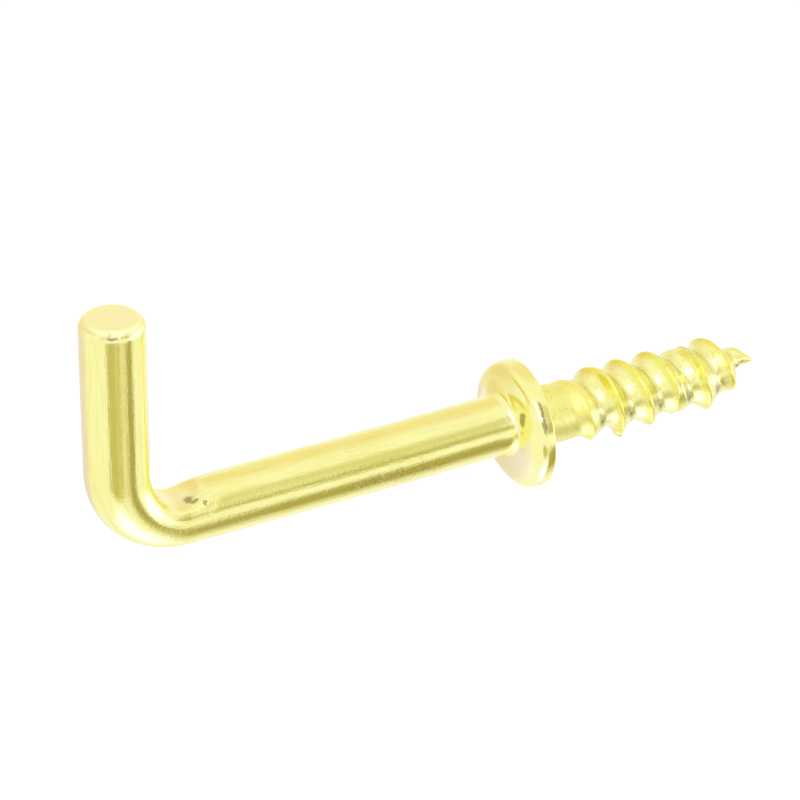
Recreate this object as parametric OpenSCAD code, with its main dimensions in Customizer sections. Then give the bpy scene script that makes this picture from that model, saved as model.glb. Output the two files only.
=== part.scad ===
// Square screw hook, one piece of plated wire: a straight arm, a square bend, a plain shank,
// a collar upset from the wire, and a wood-screw thread rolled down to a gimlet point.
// +X runs along the screw into the wall, +Z runs up the arm, and the origin is the centre
// of the collar's flat bearing face. All sizes are millimetres.

/* [Wire and bend] */
// Diameter of the wire
wire_d = 3.2; // [2.8:0.1:3.6]
// Distance from the bearing face back to the arm's axis
reach = 22.8; // [14:0.1:40]
// Height of the arm's cut end above the shank's axis
arm_h = 12; // [8:0.1:25]
// Radius of the bend at the middle of the wire
bend_r = 3.3; // [2.4:0.1:5]
// Rounding of the edge round the arm's cut end
end_round = 0.3; // [0.1:0.05:0.8]
// How much smaller the bending pin's radius is than the inside of the bend
pin_tight = 0.3; // [0.2:0.05:0.6]
// Depth to which the bending pin pressed into the shank
pin_mark = 0.4; // [0.1:0.05:0.6]

/* [Collar] */
// Diameter of the collar
collar_d = 6.8; // [5.6:0.1:9]
// Thickness of the collar from its bearing face to the top of its dome
collar_h = 1.35; // [0.9:0.05:2.5]
// Thickness of the straight rim round the collar
rim_h = 0.45; // [0.2:0.05:0.7]
// Rounding of the rim's edge on the bearing side
rim_round = 0.1; // [0.05:0.05:0.15]
// Width of the flat step between the shank's fillet and the dome
dome_step = 0.05; // [0:0.05:0.3]
// Fullness of the dome: 2 is an ellipse, higher values have a squarer shoulder
dome_fullness = 2.4; // [1.6:0.1:4]
// Radius of the fillet between the shank and the collar
shank_fillet = 0.35; // [0.1:0.05:0.6]
// How far the heading dies leave the shank's axis above the screw's axis
shank_rise = 0.2; // [0:0.05:0.3]

/* [Screw] */
// Length of the screw from the bearing face to its point
screw_len = 13.7; // [10:0.1:25]
// Diameter of the plain neck under the collar
neck_d = 2.95; // [2.6:0.05:3.3]
// Radius of the fillet between the neck and the bearing face
neck_fillet = 0.6; // [0.1:0.05:0.65]
// Diameter over the thread's crests
thread_d = 3.9; // [3.5:0.05:5]
// Diameter at the thread's root
root_d = 2.9; // [1.6:0.05:3]
// Distance between neighbouring crests
pitch = 1.745; // [1.2:0.005:2.4]
// Width of the flat on top of a crest
crest_w = 0.24; // [0.05:0.01:0.4]
// Angle of each side of the thread, from square to the axis, in degrees
flank_angle = 37; // [15:1:40]
// Distance from the bearing face at which the thread begins to rise from the neck
thread_start = 1.5; // [0.8:0.1:3]
// Length over which the thread rises to full height
run_in = 2.8; // [0.5:0.1:4]
// Length of the tapered point
point_len = 2.9; // [2:0.1:5]
// Fullness of the point: 1 is a plain cone, lower values stay thick for longer
point_fullness = 0.72; // [0.5:0.01:1]
// Turn of the whole thread about the screw's axis, in degrees
thread_turn = 239; // [0:1:359]
// Facets in one turn of the thread
turn_steps = 40; // [16:4:56]

/* [Hidden] */
$fn = 64;

wire_r = wire_d / 2;
collar_r = collar_d / 2;
neck_r = neck_d / 2;
brass = [0.93, 0.86, 0.45];

// Bend: the centre of its quarter turn, and the bending pin that pressed into its inside
bend_x = -reach + bend_r;
bend_z = shank_rise + bend_r;
arm_len = arm_h - bend_r;
pin_r = bend_r - wire_r - pin_tight;
pin_x = bend_x - pin_tight - 0.1 * pin_mark;
pin_z = bend_z - pin_tight - pin_mark;

// Collar: the fillet stops just short of square to the axis and runs on into the dome
fillet_turn = 75;
fillet_sink = 0.1;
dome_r = wire_r + shank_fillet + dome_step;
dome_steps = 20;

// Screw: the start ring lies inside the collar
seat_r = neck_r + neck_fillet;
sink = 0.5 * rim_h;
seat_land = 0.04;
fillet_steps = 5;
neck_end = seat_land + neck_fillet;
round_share = 0.9;
foot_share = 0.04;
weld_share = 0.25;
tip_gap = 0.06;

// ---- Bent wire ----

// Section of the shank on one side of its axis, from the bend to inside the collar
module shank_section() {
    fillet_x = -collar_h - shank_fillet;
    end_r = wire_r + shank_fillet * (1 - cos(fillet_turn));
    end_x = fillet_x + shank_fillet * sin(fillet_turn);
    polygon(concat(
        [[0, bend_x], [wire_r, bend_x]],
        [for (t = [0:5:fillet_turn])
            [wire_r + shank_fillet * (1 - cos(t)), fillet_x + shank_fillet * sin(t)]],
        [[end_r + fillet_sink * tan(fillet_turn), end_x + fillet_sink],
         [0, end_x + fillet_sink]]
    ));
}

module shank() {
    translate([0, 0, shank_rise]) rotate([0, 90, 0]) rotate_extrude() shank_section();
}

module bend() {
    translate([bend_x, 0, bend_z]) rotate([-90, 0, 0]) rotate([0, 0, 90])
        rotate_extrude(angle = 90) translate([bend_r, 0]) circle(r = wire_r);
}

// Straight arm with a flat cut end and a rounded edge
module arm() {
    translate([-reach, 0, bend_z]) rotate_extrude() {
        square([wire_r, arm_len - end_round]);
        square([wire_r - end_round, arm_len]);
        intersection() {
            translate([wire_r - end_round, arm_len - end_round]) circle(r = end_round);
            square([wire_r, arm_len]);
        }
    }
}

// Round bar that the wire was bent against
module bending_pin() {
    translate([pin_x, 0, pin_z]) rotate([90, 0, 0])
        cylinder(r = pin_r, h = 2 * wire_d, center = true);
}

module bent_wire() {
    difference() {
        union() {
            shank();
            bend();
            arm();
        }
        bending_pin();
    }
}

// ---- Collar ----

// Quarter of a superellipse from the dome's flat front to the rim
function dome_point(t) = [
    dome_r + (collar_r - dome_r) * pow(sin(t), 2 / dome_fullness),
    -rim_h - (collar_h - rim_h) * pow(cos(t), 2 / dome_fullness)
];

module collar_section() {
    polygon(concat(
        [[0, -collar_h]],
        [for (k = [0:dome_steps]) dome_point(90 * k / dome_steps)],
        [[collar_r, -rim_round]],
        [for (t = [30:30:90])
            [collar_r - rim_round * (1 - cos(t)), -rim_round * (1 - sin(t))]],
        [[0, 0]]
    ));
}

module collar() {
    rotate([0, 90, 0]) rotate_extrude() collar_section();
}

// ---- Screw ----

function mix(a, b, t) = a + (b - a) * t;
function ease(t) = let (c = min(1, max(0, t))) c * c * (3 - 2 * c);

// Share of full size left at x, which falls to nothing at the point
function point_share(x) =
    x < screw_len - point_len ? 1 : pow(max(0, screw_len - x) / point_len, point_fullness);

// Radius at x, where h is 0 at the root and 1 at the crest
function screw_r(x, h) =
    let (grown = ease((x - thread_start) / run_in))
    point_share(x) * mix(neck_r, mix(root_d, thread_d, h) / 2, grown);

// One pitch of the thread: [share of the pitch, share of the height], from root to root
crest_half = crest_w / 2 / pitch;
foot_half = min(0.46, crest_half + (thread_d - root_d) / 2 * tan(flank_angle) / pitch);
profile = [
    [0, 0],
    [0.5 - foot_half, foot_share],
    [0.5 - crest_half, round_share],
    [0.5, 1],
    [0.5 + crest_half, round_share],
    [0.5 + foot_half, foot_share]
];

function around(x, r, turn) = [x, r * cos(turn + thread_turn), r * sin(turn + thread_turn)];

// Rings from inside the collar, through the fillet, to the plain neck: [x, radius]
rings = concat(
    [[-sink, seat_r], [seat_land, seat_r]],
    [for (k = [1:fillet_steps]) let (t = 90 * k / fillet_steps)
        [neck_end - neck_fillet * cos(t), seat_r - neck_fillet * sin(t)]]
);

// Right-hand helix, begun one pitch before the neck and ended past the point. What falls
// before the neck is welded to the last ring, and what falls past the tip to the point.
n = turn_steps;
m = len(profile);
helix_start = neck_end - pitch;
helix_steps = ceil(n * (screw_len - helix_start) / pitch);
ring_count = len(rings);
first = ring_count * n;
tip = first + (helix_steps + n + 1) * m;
weld = weld_share * pitch / m;

function helix_x(i, j) = helix_start + pitch * (i / n + profile[j][0]);
function helix_point(i, j) =
    let (x = helix_x(i, j)) around(x, screw_r(x, profile[j][1]), 360 * i / n);
function ring_index(k, i) = k * n + i % n;
function helix_index(i, j) =
    j == m ? helix_index(i + n, 0)
    : helix_x(i, j) < neck_end + weld ? ring_index(ring_count - 1, i)
    : helix_x(i, j) > screw_len - tip_gap ? tip
    : first + i * m + j;

screw_points = concat(
    [for (ring = rings) for (i = [0:n - 1]) around(ring[0], ring[1], 360 * i / n)],
    [for (i = [0:helix_steps + n]) for (j = [0:m - 1]) helix_point(i, j)],
    [[screw_len, 0, 0]]
);

function is_whole(t) = t[0] != t[1] && t[1] != t[2] && t[2] != t[0];

screw_faces = concat(
    [[for (i = [0:n - 1]) i]],
    [for (k = [0:ring_count - 2]) for (i = [0:n - 1])
        [ring_index(k, i), ring_index(k + 1, i), ring_index(k + 1, i + 1), ring_index(k, i + 1)]],
    [for (i = [0:helix_steps - 1]) for (j = [0:m - 1])
        let (
            a = helix_index(i, j),
            b = helix_index(i, j + 1),
            c = helix_index(i + 1, j + 1),
            d = helix_index(i + 1, j)
        )
        for (t = [[a, b, c], [a, c, d]]) if (is_whole(t)) t]
);

module screw() {
    polyhedron(points = screw_points, faces = screw_faces, convexity = 12);
}

// ---- Whole hook ----

module screw_hook() {
    color(brass) {
        bent_wire();
        collar();
        screw();
    }
}

screw_hook();
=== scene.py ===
"""Square screw hook: brass-plated wire, drawn, bent, headed and thread-rolled in one piece."""

import math

import bpy
import numpy as np
from mathutils import Matrix, Vector


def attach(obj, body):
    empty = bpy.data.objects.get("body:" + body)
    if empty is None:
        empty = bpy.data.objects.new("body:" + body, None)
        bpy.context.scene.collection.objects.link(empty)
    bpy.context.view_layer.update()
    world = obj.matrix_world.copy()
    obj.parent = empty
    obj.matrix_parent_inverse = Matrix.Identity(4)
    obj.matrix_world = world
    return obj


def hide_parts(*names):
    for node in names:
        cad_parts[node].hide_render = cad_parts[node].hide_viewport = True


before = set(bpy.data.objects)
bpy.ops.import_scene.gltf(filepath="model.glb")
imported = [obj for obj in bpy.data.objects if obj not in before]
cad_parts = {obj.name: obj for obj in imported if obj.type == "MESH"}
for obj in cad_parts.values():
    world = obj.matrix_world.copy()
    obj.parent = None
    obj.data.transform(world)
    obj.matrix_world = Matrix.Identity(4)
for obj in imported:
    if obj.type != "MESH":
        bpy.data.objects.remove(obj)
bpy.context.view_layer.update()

MM = 0.001
QUARTER = math.pi / 2

# ---- Sizes of the hook: millimetres, and turns in radians unless a comment says otherwise ----
# A turn round the wire counts from straight down on the screw (0) to +Y (90 degrees)

# Arm, which leans a little, and bend
WIRE_R = 1.6
ARM_R = 1.66
REACH = 22.8
ARM_LEAN = math.radians(1.4)
ARM_LEN = 8.67
BEND_R = 3.3
END_ROUND = 0.5
END_DROP = 0.62
END_MIDDLE_R = 0.12
SHANK_RISE = 0.2
END_Z = SHANK_RISE + BEND_R + ARM_LEN
BEND_X = -REACH + BEND_R
BEND_Z = SHANK_RISE + BEND_R

# Mark that the bending pin pressed inside the bend
MARK_R = 1.35
MARK_BACK = 0.25
MARK_DEPTH = 0.62
MARK_X = BEND_X - MARK_BACK
MARK_Z = SHANK_RISE + WIRE_R - MARK_DEPTH + MARK_R
MARK_SOFT = 0.3
MARK_REACH = 0.8

# Drift of the shank's axis near the collar
SHANK_DRIFT = 0.07
DRIFT_FROM = -8
DRIFT_LONG = 6

# Collar, whose dome and fillet are fuller on the side that the die filled
COLLAR_R = 3.4
COLLAR_H = 1.35
RIM_H = 0.3
RIM_FROM = 0.08
RIM_ROUND = 0.1
DOME_FROM = 1.6
DOME_ROUND = 3.0
DOME_CONE = 0.2
DOME_SQUARE = 3.4
DOME_TILT = 0.1
SWELL_TURN = math.radians(110)
FILLET_SMALL = 0.15
FILLET_LARGE = 1.0
FILLET_GROWTH = 1.5

# Neck: it flares into the collar, sits above the screw's axis, and has a kink
SCREW_LEN = 13.7
NECK_R = 1.475
NECK_FILLET = 0.6
NECK_FLARE = 0.14
FLARE_END = 3.2
NECK_SHIFT = 0.1
SHIFT_FACE_R = 3.3
SHIFT_FACE_LONG = 1.2
SHIFT_END = 2.6
SHIFT_LONG = 1.8
SEAT_LAND = 0.04
SCREW_START = SEAT_LAND + NECK_FILLET
KINK = 0.2
KINK_X = 4.5
KINK_LONG = 0.45

# Thread and point. THREAD_TURN is in degrees from +Y
CREST_R = 1.92
ROOT_R = 1.43
PITCH = 1.745
CREST_W = 0.12
CREST_SOFT = 0.06
FLANK_HOLLOW = 1.6
THREAD_START = 1.3
RUN_IN = 2.8
POINT_LEN = 2.9
POINT_FULLNESS = 0.72
THREAD_TURN = 239
THREAD_WOBBLE = 0.11
WOBBLE_TURN = math.radians(152)

# Worn stretch of crest, with the share of its height that it lost
WEAR = 0.6
WEAR_X = 8.9
WEAR_HALF = 0.85
WEAR_FADE = 0.25
WEAR_SOFT = 0.12

# Burr on one crest, and the point pinched into a spur
BURR = 0.2
BURR_X = 4.98
BURR_LONG = 0.22
BURR_TURN = math.radians(332)
BURR_WIDE = 0.1
SPUR_X = 12.0
SPUR_LONG = 0.4
SPUR_PINCH = 0.5
SPUR_MOST = 0.5
SPUR_TURN = math.radians(146)

# Painted reflection as a yellow band along the thread, and painted shade in its root, as shares of
# the pitch
BAND_FROM = 0.28
BAND_W = 0.27
BAND_IN = 0.1
BAND_OUT = 0.05
# Painted shade: darkening in the thread's root, strongest round one side
ROOT_SHADE_AT = 0.875
ROOT_SHADE_W = 0.07
ROOT_SHADE_REST = 0.45
ROOT_SHADE_TURN = math.radians(278)
ROOT_SHADE_ROUND = math.radians(12)

# How far the fine lines on the screw wander as they go round
TURN_LINES = 0.5
LINES_SLANT = 8 * WIRE_R

# Mesh: points in a ring, rings in each stretch, and the gaps left between stretches
AROUND = 128
END_STEPS = 10
ARM_STEPS = 56
BEND_STEPS = 64
SHANK_STEPS = 96
FILLET_STEPS = 14
FILLET_FROM = 0.06
DOME_STEPS = 40
DOME_FIRST = 0.05
RIM_STEPS = 4
EDGE_STEPS = 5
FACE_STEPS = 12
NECK_FILLET_STEPS = 7
SCREW_STEPS = 384
GAP = 0.1
NECK_GAP = 0.035
TIP_GAP = 0.03
TURN = np.linspace(0, 2 * math.pi, AROUND, endpoint=False)


# ---- Mesh: one grid of rings from the arm's end to the screw's tip ----

def ring(centre_x, centre_z, radius, swing):
    """Ring square to the wire, which swings from straight down (0) to along +X (90 degrees)."""
    across = radius * np.cos(TURN)
    return np.stack([centre_x - across * math.cos(swing),
                     radius * np.sin(TURN),
                     centre_z - across * math.sin(swing)], axis=1)


def ease(t):
    t = np.clip(t, 0, 1)
    return t * t * (3 - 2 * t)


def near(away, reach):
    """1 close to a place, a half at the reach from it, and 0 at one and a half times that."""
    return ease(1.5 - away / reach)


def arm_rings():
    """Cut end, rounded edge and straight arm, which leans a little from square to the shank."""
    foot_x = BEND_X - BEND_R * math.cos(ARM_LEAN)
    foot_z = BEND_Z + BEND_R * math.sin(ARM_LEAN)

    def arm_ring(height, radius):
        return ring(foot_x + height * math.sin(ARM_LEAN), foot_z + height * math.cos(ARM_LEAN),
                    radius, -ARM_LEAN)

    rings = [arm_ring(ARM_LEN, r)
             for r in np.linspace(END_MIDDLE_R, ARM_R - END_ROUND, END_STEPS)]
    for t in np.radians(np.linspace(90 / END_STEPS, 90, END_STEPS)):
        rings.append(arm_ring(ARM_LEN - END_DROP * (1 - math.cos(t)),
                              ARM_R - END_ROUND * (1 - math.sin(t))))
    for height in np.linspace(ARM_LEN - END_DROP - GAP, GAP, ARM_STEPS):
        rings.append(arm_ring(height, ARM_R))
    return rings


def bend_rings():
    rings = []
    for swing in np.linspace(-ARM_LEAN, QUARTER, BEND_STEPS):
        radius = ARM_R + (WIRE_R - ARM_R) * float(ease(swing / QUARTER))
        rings.append(ring(BEND_X - BEND_R * math.cos(swing),
                          BEND_Z - BEND_R * math.sin(swing), radius, swing))
    return rings


def shank_z(x):
    """Height of the shank's axis, which drifts up a little where it enters the collar."""
    return SHANK_RISE + SHANK_DRIFT * float(ease((x - DRIFT_FROM) / DRIFT_LONG))


def shank_rings():
    return [ring(x, shank_z(x), WIRE_R, QUARTER)
            for x in np.linspace(BEND_X + GAP, -COLLAR_H - FILLET_LARGE - GAP, SHANK_STEPS)]


def swelled(y, z):
    """How far a place round the collar is on the side that the heading die filled: 0 to 1."""
    return 0.5 + 0.5 * (y * math.sin(SWELL_TURN) - z * math.cos(SWELL_TURN)) / np.hypot(y, z)


def dome_height(y, z):
    """Height of the collar's dome over its bearing face, squarer and fuller on the filled side."""
    full = swelled(y, z)
    share = np.clip((np.hypot(y, z) - DOME_FROM) / (COLLAR_R - DOME_FROM), 0, 1)
    power = DOME_ROUND + (DOME_SQUARE - DOME_ROUND) * full
    rise = (1 - share ** power) ** (1 / power)
    rise = rise + DOME_CONE * (1 - full) * (1 - share - rise)
    return RIM_H + (COLLAR_H - RIM_H + DOME_TILT * (2 * full - 1)) * rise


def dome_rings():
    """Fillet and dome, from the shank's round out to the rim's."""
    rings = []
    full = swelled(np.sin(TURN), -np.cos(TURN))
    fillet = FILLET_SMALL + (FILLET_LARGE - FILLET_SMALL) * full ** FILLET_GROWTH
    steps = [(t, 0.0) for t in np.linspace(FILLET_FROM, QUARTER, FILLET_STEPS)]
    shares = np.sin(np.linspace(DOME_FIRST, QUARTER, DOME_STEPS))
    steps += [(QUARTER, share) for share in shares]
    for t, share in steps:
        out = WIRE_R + fillet * (1 - math.cos(t))
        y, z = out * np.sin(TURN), shank_z(-COLLAR_H) - out * np.cos(TURN)
        y = y + (COLLAR_R * np.sin(TURN) - y) * share
        z = z + (-COLLAR_R * np.cos(TURN) - z) * share
        x = -dome_height(y, z) - fillet * (1 - math.sin(t))
        rings.append(np.stack([x, y, z], axis=1))
    return rings


def seat_rings():
    """Straight rim, its rounded edge, the bearing face and the fillet into the neck."""
    rings = [ring(x, 0, COLLAR_R, QUARTER)
             for x in np.linspace(-RIM_H + RIM_FROM, -RIM_ROUND, RIM_STEPS)]
    for t in np.linspace(QUARTER / EDGE_STEPS, QUARTER, EDGE_STEPS):
        rings.append(ring(-RIM_ROUND * (1 - math.sin(t)), 0,
                          COLLAR_R - RIM_ROUND * (1 - math.cos(t)), QUARTER))
    neck_r = NECK_R + NECK_FLARE
    for r in np.linspace(COLLAR_R - RIM_ROUND - GAP, neck_r + NECK_FILLET, FACE_STEPS):
        shift = NECK_SHIFT * float(ease((SHIFT_FACE_R - r) / SHIFT_FACE_LONG))
        rings.append(ring(0, shift, r, QUARTER))
    for t in np.linspace(0, QUARTER, NECK_FILLET_STEPS):
        rings.append(ring(SEAT_LAND + NECK_FILLET * (1 - math.cos(t)), NECK_SHIFT,
                          neck_r + NECK_FILLET * (1 - math.sin(t)), QUARTER))
    return rings


def thread_phase(x):
    """Place round a ring at x within one pitch, from 0 to 1, with the crest at 0.5."""
    angle = np.degrees(TURN) - 90 - THREAD_TURN
    wobble = THREAD_WOBBLE * np.cos(TURN - WOBBLE_TURN)
    return ((x + wobble - (SCREW_START - PITCH)) / PITCH - angle / 360) % 1


def thread_height(x):
    """Height of the thread round a ring at x: 0 at the hollow root, 1 on the blunt crest."""
    crest = CREST_W / PITCH
    away = (2 * np.abs(thread_phase(x) - 0.5) - crest) / (1 - crest)
    away = 0.5 * (away + np.sqrt(away ** 2 + CREST_SOFT ** 2))
    height = (1 - np.minimum(away, 1)) ** FLANK_HOLLOW
    left = 1 - WEAR * float(ease((WEAR_HALF - abs(x - WEAR_X)) / WEAR_FADE))
    return 0.5 * (left + height - np.sqrt((left - height) ** 2 + (WEAR_SOFT * (1 - left)) ** 2))


def axis_shift(x):
    """How far the neck and its kink stand above the screw's axis."""
    seat = NECK_SHIFT * float(ease((SHIFT_END - x) / SHIFT_LONG))
    return seat + KINK * float(ease(1 - abs(x - KINK_X) / KINK_LONG))


def screw_rings():
    """Neck, thread and point. The point is pinched from below into a thin spur."""
    spur_side = np.array([0, math.sin(SPUR_TURN), -math.cos(SPUR_TURN)])
    rings = []
    for x in np.linspace(SCREW_START + NECK_GAP, SCREW_LEN - TIP_GAP, SCREW_STEPS):
        left = min(1, (SCREW_LEN - x) / POINT_LEN) ** POINT_FULLNESS
        grown = ease((x - THREAD_START) / RUN_IN)
        full = ROOT_R + (CREST_R - ROOT_R) * thread_height(x)
        neck = NECK_R + NECK_FLARE * float(ease((FLARE_END - x) / FLARE_END))
        radius = left * (neck + (full - neck) * grown)
        burr = near(np.abs(TURN - BURR_TURN), BURR_WIDE) * float(near(abs(x - BURR_X), BURR_LONG))
        radius = radius + BURR * burr
        pinch = SPUR_PINCH * float(ease((x - SPUR_X) / SPUR_LONG)) * left
        thin = radius - np.minimum(pinch, SPUR_MOST * radius)
        rings.append(ring(x, axis_shift(x), thin, QUARTER) + spur_side * pinch)
    return rings


def press_mark(points):
    """The mark pressed inside the bend: what lies within the tool goes out to its surface."""
    middle = np.array([MARK_X, MARK_Z])
    away = points[:, [0, 2]] - middle
    far = np.linalg.norm(away, axis=1)
    gap = far - MARK_R
    pressed = MARK_R + 0.5 * (gap + np.sqrt(gap * gap + MARK_SOFT ** 2))
    close = (far < MARK_R + MARK_REACH) & (points[:, 2] > MARK_Z - MARK_R - MARK_REACH)
    scale = np.where(close, pressed / far, 1)
    moved = points.copy()
    moved[:, [0, 2]] = middle + away * scale[:, None]
    return moved


def grid_faces(count):
    """Faces between the rings, and a fan that closes each end round a point of its own."""
    faces = []
    for i in range(0, (count - 1) * AROUND, AROUND):
        for j in range(AROUND):
            k = (j + 1) % AROUND
            faces.append((i + j, i + k, i + AROUND + k, i + AROUND + j))
    top, tip, last = count * AROUND, count * AROUND + 1, (count - 1) * AROUND
    for j in range(AROUND):
        k = (j + 1) % AROUND
        faces.append((top, k, j))
        faces.append((last + j, last + k, tip))
    return faces


def length_along(rings):
    """How far each ring is along the surface, which counts a change of radius too."""
    middles = np.array([r.mean(axis=0) for r in rings])
    radii = np.array([np.linalg.norm(r - m, axis=1).mean() for r, m in zip(rings, middles)])
    path = np.stack([middles[:, 0], middles[:, 2], radii], axis=1)
    return np.concatenate([[0], np.cumsum(np.linalg.norm(np.diff(path, axis=0), axis=1))])


def screw_rows(count, screw):
    """Each ring of the screw: its points' places in the mesh, and its x."""
    for i, turn in enumerate(screw):
        row = (count - len(screw) + i) * AROUND
        yield slice(row, row + AROUND), turn[0, 0]


def wire_places(rings, screw):
    """Place on the wire in millimetres: across it twice, then along it. On the screw the first
    two follow the thread, which takes the fine lines round with it."""
    count = len(rings)
    along = length_along(rings)
    wire = np.zeros((count * AROUND + 2, 3))
    wire[:-2, 0] = np.tile(WIRE_R * np.cos(TURN), count)
    wire[:-2, 1] = np.tile(WIRE_R * np.sin(TURN), count)
    wire[:-2, 2] = np.repeat(along, AROUND)
    wire[-1, 2] = along[-1]
    for row, x in screw_rows(count, screw):
        phase = 2 * math.pi * thread_phase(x)
        wire[row, 0] = TURN_LINES * np.cos(phase)
        wire[row, 1] = TURN_LINES * np.sin(phase)
        wire[row, 2] += LINES_SLANT * np.cos(TURN)
    return wire


def thread_tones(rings, screw):
    """Painted reflection: a yellow band along each turn, on the crest's near side. Painted shade:
    darkening in the thread's root, most of all round one side."""
    reflection_band = np.zeros(len(rings) * AROUND + 2)
    root_shade = np.zeros_like(reflection_band)
    for row, x in screw_rows(len(rings), screw):
        phase = thread_phase(x)
        rise = ease((x - THREAD_START) / RUN_IN)
        past = (phase - BAND_FROM) % 1
        reflection_band[row] = rise * ease(past / BAND_IN) * ease((BAND_W - past) / BAND_OUT)
        off_root = np.abs((phase - ROOT_SHADE_AT + 0.5) % 1 - 0.5)
        off_turn = np.abs(TURN - ROOT_SHADE_TURN)
        spot = ease(2 - np.hypot(off_root / ROOT_SHADE_W, off_turn / ROOT_SHADE_ROUND))
        root_shade[row] = rise * np.maximum(spot, ROOT_SHADE_REST * near(off_root, ROOT_SHADE_W))
    return {"reflection_band": reflection_band, "root_shade": root_shade}


def make_hook():
    screw = screw_rings()
    rings = arm_rings() + bend_rings() + shank_rings() + dome_rings() + seat_rings() + screw
    ends = [rings[0].mean(axis=0), [SCREW_LEN, 0, 0]]
    points = np.concatenate([press_mark(np.concatenate(rings)), ends])
    mesh = bpy.data.meshes.new("plated_wire")
    mesh.from_pydata([tuple(p) for p in points * MM], [], grid_faces(len(rings)))
    mesh.shade_smooth()

    place = mesh.attributes.new("wire", "FLOAT_VECTOR", "POINT")
    place.data.foreach_set("vector", wire_places(rings, screw).astype(np.float32).ravel())
    for name, values in thread_tones(rings, screw).items():
        tone = mesh.attributes.new(name, "FLOAT", "POINT")
        tone.data.foreach_set("value", values.astype(np.float32))

    hook = bpy.data.objects.new("plated_wire", mesh)
    bpy.context.scene.collection.objects.link(hook)
    return hook


# ---- Materials ----

def add(tree, kind, inputs=None, **settings):
    """New node with its settings, and each input linked to a socket or set to a value."""
    node = tree.nodes.new(kind)
    for key, value in settings.items():
        setattr(node, key, value)
    for key, value in (inputs or {}).items():
        if isinstance(value, bpy.types.NodeSocket):
            tree.links.new(value, node.inputs[key])
        else:
            node.inputs[key].default_value = value
    return node


def math_node(tree, operation, a, b=0.0):
    return add(tree, "ShaderNodeMath", {0: a, 1: b}, operation=operation).outputs[0]


def times(tree, a, b):
    return math_node(tree, "MULTIPLY", a, b)


def vector_node(tree, operation, a, b, output="Vector"):
    return add(tree, "ShaderNodeVectorMath", {0: a, 1: b}, operation=operation).outputs[output]


def soft_step(tree, value, low, high, to_low=0.0, to_high=1.0):
    return add(tree, "ShaderNodeMapRange",
               {"Value": value, "From Min": low, "From Max": high,
                "To Min": to_low, "To Max": to_high},
               interpolation_type="SMOOTHSTEP").outputs["Result"]


def mix_value(tree, factor, a, b):
    return add(tree, "ShaderNodeMix", {0: factor, 2: a, 3: b}).outputs[0]


def mix_colour(tree, factor, a, b):
    return add(tree, "ShaderNodeMix", {0: factor, 6: a, 7: b}, data_type="RGBA").outputs[2]


def noise(tree, vector, scale, detail=2.0, rough=0.5):
    return add(tree, "ShaderNodeTexNoise",
               {"Vector": vector, "Scale": scale, "Detail": detail,
                "Roughness": rough}).outputs["Fac"]


# Marks on the surface in millimetres: centre, and half size along each axis
DARK_MARKS = {
    "nick_on_end": ((-23.15, -1.45, 12.0), (0.38, 0.6, 0.14)),
    "bend_pit_large": ((-19.3, -0.5, 1.22), (0.2, 0.26, 0.3)),
    "bend_pit_middle": ((-19.12, -0.85, 1.2), (0.2, 0.12, 0.3)),
    "bend_pit_small": ((-18.67, -1.19, 1.22), (0.11, 0.11, 0.3)),
    # Dark spot where the shank meets the dome
    "collar_dark_spot": ((-1.25, -1.92, 1.45), (0.4, 0.2, 0.36)),
    # Painted shade: a dark line along the rim's edge
    "rim_shade_upper": ((-0.54, -2.58, 2.12), (0.12, 0.34, 0.42)),
    "rim_shade_lower": ((-0.52, -2.98, 1.46), (0.11, 0.26, 0.4)),
    "burr_tip": ((4.98, -0.98, -1.86), (0.16, 0.2, 0.14)),
}
# Pale patches painted as highlights on the collar, in the pressed mark and under the nick
PAINTED_HIGHLIGHTS = {
    "collar_foot": ((-1.25, -1.5, 1.6), (0.4, 0.7, 0.8)),
    "collar_face": ((-1.05, -1.9, -1.3), (0.4, 0.9, 0.9)),
    "press_mark": ((-19.9, -0.1, 1.2), (0.55, 0.7, 0.4)),
    "under_nick": ((-23.1, -1.66, 11.68), (0.3, 0.5, 0.14)),
}
SCRATCHED = {"under_shank": ((-8.1, -1.55, -0.05), (2.4, 0.6, 0.45))}


# Colours of the plate and of what lies over it, with painted light among them: a reflection band,
# shade in the thread's root and highlights
PLATE = (0.97, 0.945, 0.40, 1)
PLATE_CLOUD = (0.96, 0.915, 0.35, 1)
ON_NECK = (0.95, 0.88, 0.22, 1)
FINE_LINES = (0.72, 0.64, 0.24, 1)
# Painted reflection: yellow of the crest's flank, painted into the colour
YELLOW_REFLECTION = (0.92, 0.85, 0.11, 1)
SPECKS = (0.60, 0.56, 0.28, 1)
# Painted shade in the thread's root
ROOT_SHADE = (0.42, 0.42, 0.20, 1)
# Painted highlight
PAINTED_HIGHLIGHT = (1.0, 0.985, 0.66, 1)
DULL = (0.62, 0.52, 0.22, 1)
CUT_END = (1.0, 0.985, 0.55, 1)
DARK = (0.30, 0.26, 0.10, 1)


def marked(tree, in_mm, marks, ragged, blur=0.6):
    """1 inside any of the marks, 0 outside them, with soft and ragged edges."""
    total = None
    for centre, half in marks.values():
        away = vector_node(tree, "SUBTRACT", in_mm, centre)
        away = vector_node(tree, "DIVIDE", away, half)
        away = add(tree, "ShaderNodeVectorMath", {0: away}, operation="LENGTH").outputs["Value"]
        away = math_node(tree, "ADD", away, ragged)
        inside = soft_step(tree, away, 1 - blur / 2, 1 + blur, 1.0, 0.0)
        total = inside if total is None else math_node(tree, "MAXIMUM", total, inside)
    return total


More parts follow.
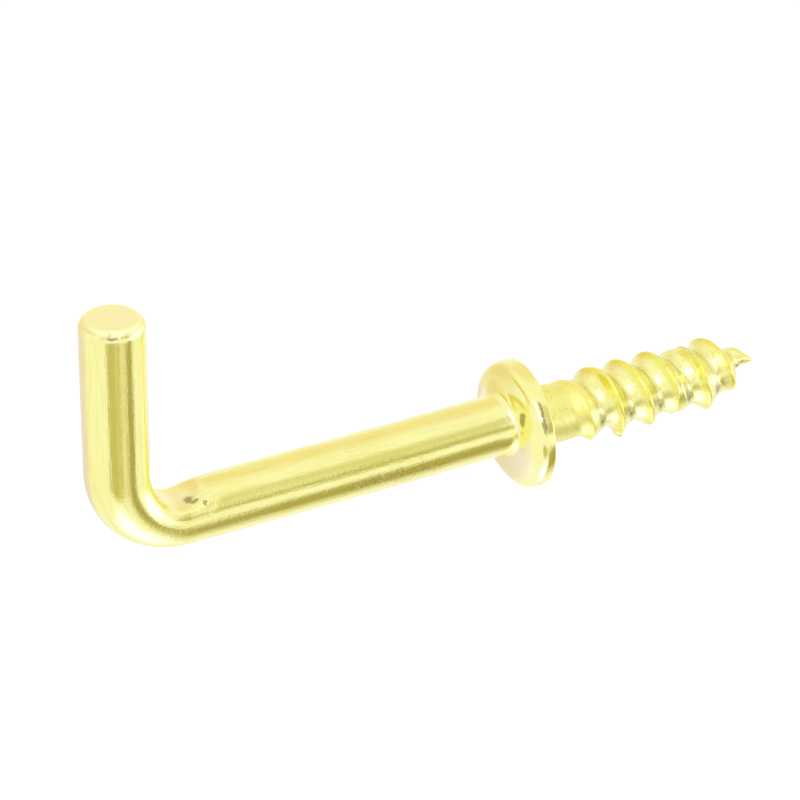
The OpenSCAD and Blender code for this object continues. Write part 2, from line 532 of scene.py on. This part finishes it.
def plate_textures(tree, in_mm):
    """Noises that the plate's colour, gloss and bump share."""
    place = add(tree, "ShaderNodeAttribute", attribute_name="wire").outputs["Vector"]
    across = add(tree, "ShaderNodeVectorRotate", {0: in_mm, 3: math.radians(-40)},
                 rotation_type="Y_AXIS").outputs[0]
    edge = noise(tree, in_mm, 3.0, detail=1.0)
    return {
        # Drawing lines run along the wire, and rolling lines round the neck and the screw
        "lines": noise(tree, vector_node(tree, "MULTIPLY", place, (1, 1, 0.06)), 6.0,
                       detail=4.0, rough=0.65),
        "cloud": noise(tree, in_mm, 0.6, detail=3.0),
        "grain": noise(tree, in_mm, 6.0, detail=3.0, rough=0.6),
        "specks": noise(tree, in_mm, 4.5, detail=4.0, rough=0.75),
        "scratches": noise(tree, vector_node(tree, "MULTIPLY", across, (1.6, 4, 11)), 1.0,
                           detail=1.0),
        "ragged": soft_step(tree, edge, 0.3, 0.7, -0.25, 0.3),
    }


def plate_areas(tree, in_mm, texture):
    """Where each kind of surface is: 1 on it and 0 off it."""
    split = add(tree, "ShaderNodeSeparateXYZ", {0: in_mm})
    x, z = split.outputs["X"], split.outputs["Z"]
    from_collar = math_node(tree, "ABSOLUTE", math_node(tree, "ADD", x, 1.0))
    on_screw = soft_step(tree, x, -0.2, 0.1)
    scratched = marked(tree, in_mm, SCRATCHED, texture["ragged"])
    return {
        "screw": on_screw,
        "end": soft_step(tree, z, END_Z - 0.4, END_Z - 0.05),
        "collar": soft_step(tree, from_collar, 0.9, 1.4, 1.0, 0.0),
        "neck": times(tree, on_screw, soft_step(tree, x, 2.2, 4.0, 1.0, 0.0)),
        "dark": marked(tree, in_mm, DARK_MARKS, texture["ragged"]),
        # Patches painted as highlights
        "painted_highlight": marked(tree, in_mm, PAINTED_HIGHLIGHTS, texture["ragged"], blur=1.2),
        "bright": times(tree, scratched, soft_step(tree, texture["scratches"], 0.66, 0.72)),
        "dull": times(tree, scratched, soft_step(tree, texture["specks"], 0.5, 0.6, 0.0, 0.5)),
    }


def plate_colour(tree, texture, area):
    """The plate's colour, with each layer laid over the ones before it."""
    reflection_band = add(tree, "ShaderNodeAttribute", attribute_name="reflection_band").outputs["Fac"]
    root_shade = add(tree, "ShaderNodeAttribute", attribute_name="root_shade").outputs["Fac"]
    fine = soft_step(tree, texture["lines"], 0.5, 0.68, 0.0, 0.22)
    fine = times(tree, fine, math_node(tree, "ADD", area["screw"], 1.0))
    fine = times(tree, fine, math_node(tree, "SUBTRACT", 1.0, area["collar"]))
    layers = (
        (times(tree, area["neck"], 0.55), ON_NECK),
        (fine, FINE_LINES),
        # Painted reflection: the yellow band on each turn of the thread
        (times(tree, reflection_band, soft_step(tree, texture["grain"], 0.25, 0.6, 0.35, 0.85)), YELLOW_REFLECTION),
        (times(tree, area["screw"], soft_step(tree, texture["specks"], 0.56, 0.66, 0.0, 0.6)),
         SPECKS),
        # Painted shade: darkening in the thread's root
        (times(tree, root_shade, soft_step(tree, texture["grain"], 0.3, 0.6, 0.4, 0.9)), ROOT_SHADE),
        # Painted highlights: pale patches on the collar, in the pressed mark and under the nick
        (times(tree, area["painted_highlight"], 0.6), PAINTED_HIGHLIGHT),
        (area["dull"], DULL),
        (area["end"], CUT_END),
        # Dark marks: pits, the nick and the burr's tip, with painted shade along the rim's edge
        (times(tree, area["dark"], 0.8), DARK),
    )
    colour = mix_colour(tree, soft_step(tree, texture["cloud"], 0.4, 0.7), PLATE, PLATE_CLOUD)
    for share, tint in layers:
        colour = mix_colour(tree, share, colour, tint)
    return colour


# Roughness of each kind of surface, laid over the drawn wire's in this order
ROUGH = {"screw": 0.22, "neck": 0.4, "collar": 0.1, "end": 0.3, "painted_highlight": 0.14, "bright": 0.3}


def plate_bump(tree, texture, area):
    """Fine relief, in metres: drawing lines, an uneven surface, and the dark marks sunk in."""
    smooth = mix_value(tree, area["collar"], texture["lines"], 0.5)
    drawn = add(tree, "ShaderNodeBump", {"Height": smooth, "Strength": 0.5, "Distance": 0.00002})
    uneven = add(tree, "ShaderNodeBump", {"Height": texture["grain"], "Strength": 0.25,
                                          "Distance": 0.00003, "Normal": drawn.outputs["Normal"]})
    return add(tree, "ShaderNodeBump", {"Height": area["dark"], "Strength": 0.15,
                                        "Distance": 0.00005, "Normal": uneven.outputs["Normal"]},
               invert=True).outputs["Normal"]


def brass_plate():
    """Bright brass plate over drawn wire, with fine lines along it."""
    material = bpy.data.materials.new("brass_plate")
    material.use_nodes = True
    tree = material.node_tree
    shader = tree.nodes["Principled BSDF"]
    where = add(tree, "ShaderNodeTexCoord").outputs["Object"]
    in_mm = add(tree, "ShaderNodeVectorMath", {0: where, 3: 1 / MM}, operation="SCALE").outputs[0]
    texture = plate_textures(tree, in_mm)
    area = plate_areas(tree, in_mm, texture)
    rough = soft_step(tree, texture["lines"], 0.3, 0.7, 0.06, 0.13)
    for name, value in ROUGH.items():
        rough = mix_value(tree, area[name], rough, value)
    tree.links.new(plate_colour(tree, texture, area), shader.inputs["Base Color"])
    tree.links.new(rough, shader.inputs["Roughness"])
    tree.links.new(plate_bump(tree, texture, area), shader.inputs["Normal"])
    shader.inputs["Metallic"].default_value = 1.0
    return material


# ---- Light, floor and camera ----

# Cards round the object, seen only in its reflections: azimuth and height in degrees, half
# width and half height as sines of their angles, roll in degrees, colour, softness.
# They follow the photograph's reflections. A least-squares fit gave the first set, which was
# then set again, and a few places and tints still stay near that fit.
CARDS = {
    "amber_overhead": (60, 45, 0.40, 0.45, 0, (0.95, 0.84, 0.65), 0.6),
    "amber_behind": (116, 8, 0.50, 0.50, 0, (0.89, 0.75, 0.60), 0.6),
    "pink_behind": (105, -35, 0.45, 0.20, 0, (0.87, 0.77, 1.00), 0.6),
    "amber_right": (20, 0, 0.40, 0.35, 0, (0.98, 0.88, 0.60), 0.6),
    "white_right": (-22, -9, 0.55, 0.24, 0, (1.50, 1.50, 2.30), 0.4),
    "white_low": (-112, -72, 0.32, 0.40, 0, (1.50, 1.50, 2.30), 0.4),
    "amber_left": (165, 28, 0.42, 0.15, 0, (0.80, 0.66, 0.27), 0.3),
    "olive_front": (-112, -28, 0.36, 0.20, 0, (0.62, 0.56, 0.29), 0.12),
    "olive_glint": (-103, -28, 0.05, 0.20, 0, (0.76, 0.70, 0.42), 0.4),
    "olive_gap": (-78, -28, 0.13, 0.12, 0, (0.84, 0.76, 0.54), 0.3),
    "olive_fade": (-61, 30, 0.14, 0.34, 0, (0.76, 0.73, 0.50), 0.25),
    "olive_right": (-65, 10, 0.17, 0.145, 0, (0.57, 0.53, 0.26), 0.25),
    "low_fade": (-40, -62, 0.16, 0.22, 0, (0.75, 0.71, 0.58), 0.9),
    "dark_low_right": (-55.5, -39, 0.19, 0.35, 10, (0.46, 0.40, 0.18), 0.28),
    "dark_right": (-10, -40, 0.14, 0.09, 0, (0.30, 0.29, 0.14), 0.25),
}


def card_cover(tree, sight, azimuth, height, wide, high, roll, soft):
    """1 where the line of sight meets the card, 0 where it misses it."""
    azimuth, height = math.radians(azimuth), math.radians(height)
    ahead = Vector((math.cos(height) * math.cos(azimuth),
                    math.cos(height) * math.sin(azimuth), math.sin(height)))
    across = ahead.cross(Vector((0, 0, 1))).normalized()
    up = across.cross(ahead)
    turned = Matrix.Rotation(math.radians(roll), 3, ahead)
    front, side, rise = (vector_node(tree, "DOT_PRODUCT", sight, axis, "Value")
                         for axis in (ahead, turned @ across / wide, turned @ up / high))
    squares = math_node(tree, "ADD", times(tree, side, side), times(tree, rise, rise))
    inside = soft_step(tree, math_node(tree, "SQRT", squares), 1 - soft, 1 + soft, 1.0, 0.0)
    return times(tree, inside, math_node(tree, "GREATER_THAN", front, 0.0))


def make_world():
    """White all round, with the cards seen by glossy rays alone."""
    world = bpy.data.worlds.new("tent")
    bpy.context.scene.world = world
    world.use_nodes = True
    tree = world.node_tree
    sight = add(tree, "ShaderNodeTexCoord").outputs["Generated"]
    tent = (1, 1, 1, 1)
    for azimuth, height, wide, high, roll, colour, soft in CARDS.values():
        cover = card_cover(tree, sight, azimuth, height, wide, high, roll, soft)
        tent = mix_colour(tree, cover, tent, (*colour, 1))
    path = add(tree, "ShaderNodeLightPath")
    shown = mix_colour(tree, path.outputs["Is Glossy Ray"], (1, 1, 1, 1), tent)
    background = tree.nodes["Background"]
    tree.links.new(shown, background.inputs["Color"])
    background.inputs["Strength"].default_value = 1.0


FLOOR_Z = -30.0
FLOOR_SIZE = 4000.0
FLOOR_LIFT = 0.06


def make_floor():
    """White paper, lifted a little for the camera alone so that it renders pure white."""
    half = FLOOR_SIZE / 2 * MM
    z = FLOOR_Z * MM
    corners = [(-half, -half, z), (half, -half, z), (half, half, z), (-half, half, z)]
    mesh = bpy.data.meshes.new("floor")
    mesh.from_pydata(corners, [], [(0, 1, 2, 3)])
    floor = bpy.data.objects.new("floor", mesh)
    bpy.context.scene.collection.objects.link(floor)
    material = bpy.data.materials.new("white_paper")
    material.use_nodes = True
    tree = material.node_tree
    shader = tree.nodes["Principled BSDF"]
    shader.inputs["Base Color"].default_value = (0.95, 0.95, 0.95, 1)
    shader.inputs["Emission Color"].default_value = (1, 1, 1, 1)
    path = add(tree, "ShaderNodeLightPath")
    glow = times(tree, path.outputs["Is Camera Ray"], FLOOR_LIFT)
    tree.links.new(glow, shader.inputs["Emission Strength"])
    shader.inputs["Roughness"].default_value = 0.9
    shader.inputs["Specular IOR Level"].default_value = 0.0
    mesh.materials.append(material)
    floor.visible_glossy = False


# Lamp: millimetres and watts
LAMP_PLACE = (-70, -240, 220)
LAMP_TARGET = (-5, 0, 0)
LAMP_SIZE = 190
LAMP_WATTS = 0.22


def make_lamp():
    light = bpy.data.lights.new("key", "AREA")
    light.size = LAMP_SIZE * MM
    light.energy = LAMP_WATTS
    lamp = bpy.data.objects.new("key", light)
    lamp.location = Vector(LAMP_PLACE) * MM
    aim = Vector(LAMP_TARGET) - Vector(LAMP_PLACE)
    lamp.rotation_euler = aim.to_track_quat("-Z", "Y").to_euler()
    bpy.context.scene.collection.objects.link(lamp)


# Camera at the photograph's angle: degrees, millimetres, and the focal length in pixels. The
# values come from a fit of a rough model's outline to the photograph's.
CAM_TURN = 26.2298
CAM_DROP = 30.6342
CAM_ROLL = 0.992
CAM_DISTANCE = 192.3988
CAM_TARGET = (-7.2367, 0.0, 3.3128)
CAM_FOCAL = 3795.2
PICTURE = 800
SENSOR = 36.0


def make_camera():
    turn, drop, roll = (math.radians(v) for v in (CAM_TURN, CAM_DROP, CAM_ROLL))
    level = Vector((math.cos(turn), -math.sin(turn), 0))
    ahead = Vector((math.sin(turn) * math.cos(drop), math.cos(turn) * math.cos(drop),
                    -math.sin(drop)))
    above = level.cross(ahead)
    right = level * math.cos(roll) - above * math.sin(roll)
    up = level * math.sin(roll) + above * math.cos(roll)
    lens = bpy.data.cameras.new("camera")
    lens.sensor_width = SENSOR
    lens.lens = SENSOR * CAM_FOCAL / PICTURE
    lens.clip_start = 0.001
    lens.clip_end = 20.0
    camera = bpy.data.objects.new("camera", lens)
    place = (Vector(CAM_TARGET) - ahead * CAM_DISTANCE) * MM
    facing = Matrix((right, up, -ahead)).transposed().to_4x4()
    camera.matrix_world = Matrix.Translation(place) @ facing
    bpy.context.scene.collection.objects.link(camera)
    bpy.context.scene.camera = camera


# ---- Scene ----

hook = make_hook()
hook.data.materials.append(brass_plate())
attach(hook, "root")
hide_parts("screw_hook")

make_floor()
make_world()
make_lamp()
make_camera()
bpy.context.scene.view_settings.view_transform = "Standard"
